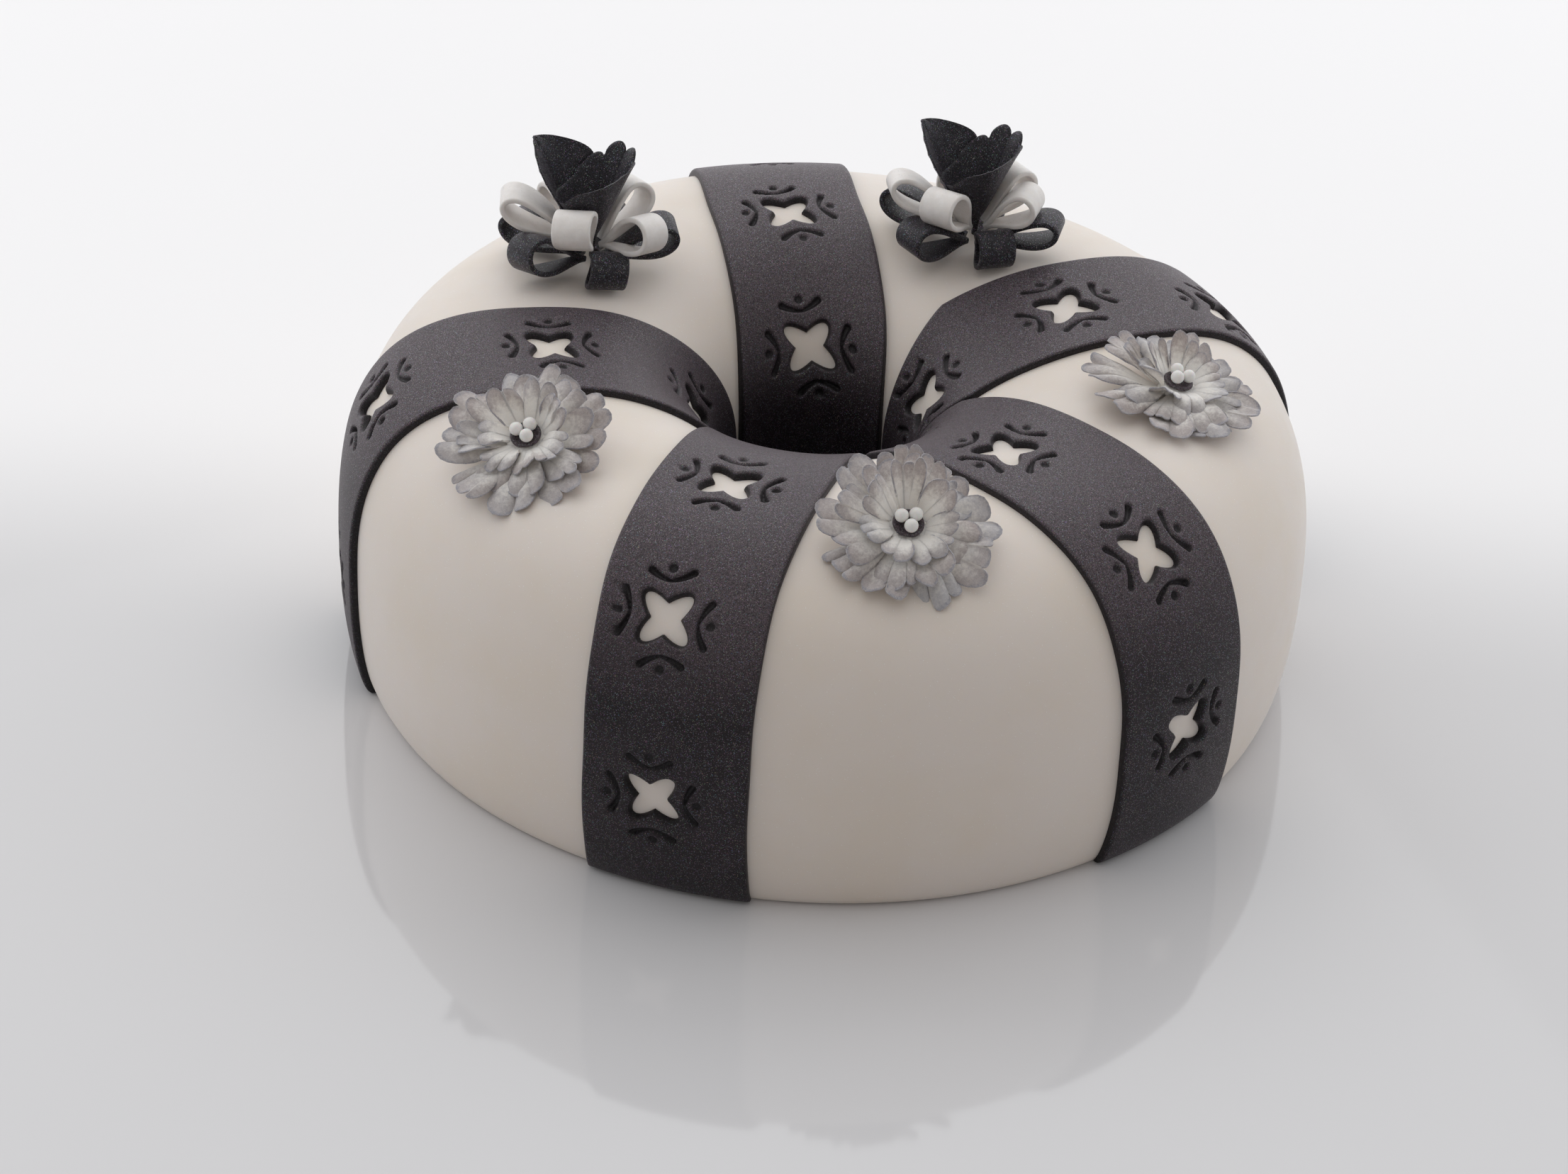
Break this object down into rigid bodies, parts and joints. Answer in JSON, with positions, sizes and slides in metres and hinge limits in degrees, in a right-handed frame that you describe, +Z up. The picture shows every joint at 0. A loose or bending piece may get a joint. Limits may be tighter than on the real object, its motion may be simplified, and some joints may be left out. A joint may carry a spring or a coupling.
{
  "type": "fondant-covered ring cake",
  "caption": "Ring-shaped celebration cake in smooth fondant, with punched bands over the ring and sugar flowers and loop bows on top.",
  "frame": {"origin": "on the table, under the middle of the whole cake's box", "axes": "+Z up through the ring, -Y towards the side with the front flower, +X to the right seen from there"},
  "size_m": [0.262, 0.2632, 0.1284],
  "materials": {
    "ivory_fondant": "smooth ivory sugar paste with a soft satin surface",
    "black_fondant": "black sugar paste dusted with fine pearl glitter",
    "sugar_petal": "dry matt sugar petal, cream at the base and dusted grey towards its edges",
    "sugar_pearl": "white glazed sugar pearl",
    "white_sugar": "white sugar paste strip with a faint shimmer",
    "black_glitter_sugar": "black sugar paste with coarse blue and silver glitter"
  },
  "bodies": {
    "root": {"cake_ring": "ivory_fondant", "band_front_left": "black_fondant", "band_front_right": "black_fondant", "band_right": "black_fondant", "band_back": "black_fondant", "band_left": "black_fondant", "flower_left_outer_petals": "sugar_petal", "flower_left_middle_petals": "sugar_petal", "flower_left_inner_petals": "sugar_petal", "flower_left_button": "black_fondant", "flower_left_pearl_1": "sugar_pearl", "flower_left_pearl_2": "sugar_pearl", "flower_left_pearl_3": "sugar_pearl", "flower_front_outer_petals": "sugar_petal", "flower_front_middle_petals": "sugar_petal", "flower_front_inner_petals": "sugar_petal", "flower_front_button": "black_fondant", "flower_front_pearl_1": "sugar_pearl", "flower_front_pearl_2": "sugar_pearl", "flower_front_pearl_3": "sugar_pearl", "flower_right_outer_petals": "sugar_petal", "flower_right_middle_petals": "sugar_petal", "flower_right_inner_petals": "sugar_petal", "flower_right_button": "black_fondant", "flower_right_pearl_1": "sugar_pearl", "flower_right_pearl_2": "sugar_pearl", "flower_right_pearl_3": "sugar_pearl", "bow_left_black_loop_1": "black_glitter_sugar", "bow_left_white_loop_1": "white_sugar", "bow_left_black_loop_2": "black_glitter_sugar", "bow_left_white_loop_2": "white_sugar", "bow_left_black_loop_3": "black_glitter_sugar", "bow_left_white_loop_3": "white_sugar", "bow_left_black_loop_4": "black_glitter_sugar", "bow_left_white_loop_4": "white_sugar", "bow_left_black_loop_5": "black_glitter_sugar", "bow_left_white_loop_5": "white_sugar", "bow_left_funnel": "black_glitter_sugar", "bow_left_leaf": "black_glitter_sugar", "bow_right_black_loop_1": "black_glitter_sugar", "bow_right_white_loop_1": "white_sugar", "bow_right_black_loop_2": "black_glitter_sugar", "bow_right_white_loop_2": "white_sugar", "bow_right_black_loop_3": "black_glitter_sugar", "bow_right_white_loop_3": "white_sugar", "bow_right_black_loop_4": "black_glitter_sugar", "bow_right_white_loop_4": "white_sugar", "bow_right_black_loop_5": "black_glitter_sugar", "bow_right_white_loop_5": "white_sugar", "bow_right_funnel": "black_glitter_sugar", "bow_right_leaf": "black_glitter_sugar"}
  },
  "joints": []
}
